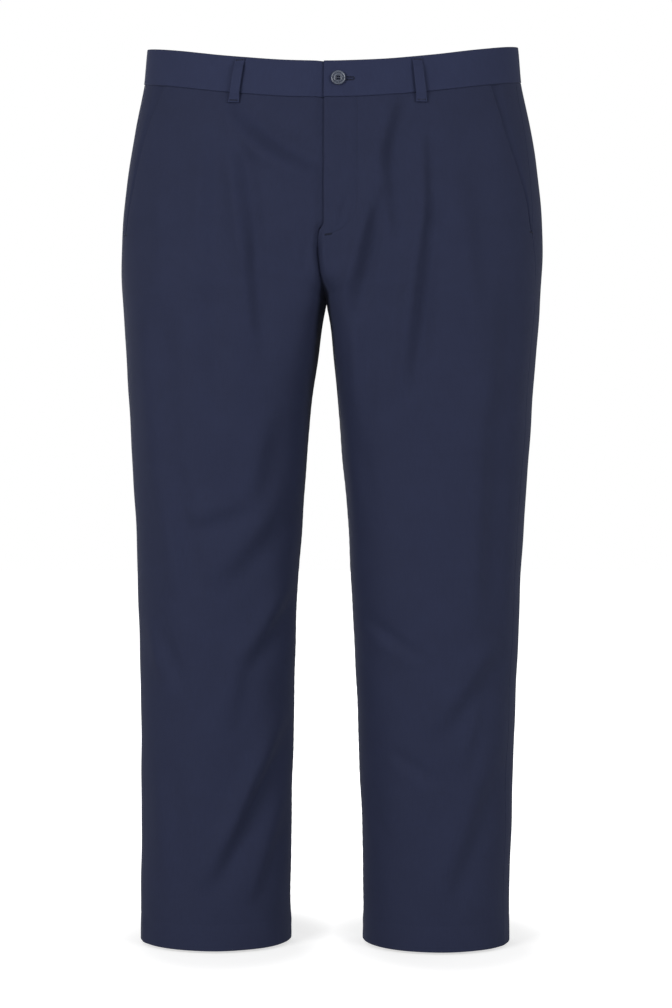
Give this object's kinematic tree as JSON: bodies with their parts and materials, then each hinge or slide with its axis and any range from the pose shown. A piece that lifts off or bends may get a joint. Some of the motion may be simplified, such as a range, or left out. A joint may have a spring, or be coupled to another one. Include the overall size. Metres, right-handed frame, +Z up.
{
  "type": "dress trousers",
  "caption": "Straight-leg dress trousers, filled out and hollow, with slant front pockets, a lapped fly, a buttoned waistband and belt loops.",
  "frame": {"origin": "middle of the waist, half way up the waistband at the side seams, where the wearer's waist holds the trousers", "axes": "+Z up towards the waist opening, -Y the front with the fly, +X the wearer's left"},
  "size_m": [0.4893, 0.2463, 1.0441],
  "materials": {
    "navy_twill": "matt cotton twill with a soft sheen",
    "button_grey": "semi-gloss"
  },
  "bodies": {
    "root": {"front_left": "navy_twill", "front_right": "navy_twill", "back_left": "navy_twill", "back_right": "navy_twill", "pocket_facing_left": "navy_twill", "pocket_facing_right": "navy_twill", "waistband_left": "navy_twill", "waistband_right": "navy_twill", "belt_loop_front_left": "navy_twill", "belt_loop_front_right": "navy_twill", "belt_loop_side_left": "navy_twill", "belt_loop_side_right": "navy_twill", "belt_loop_centre_back": "navy_twill", "button": "button_grey"}
  },
  "joints": []
}
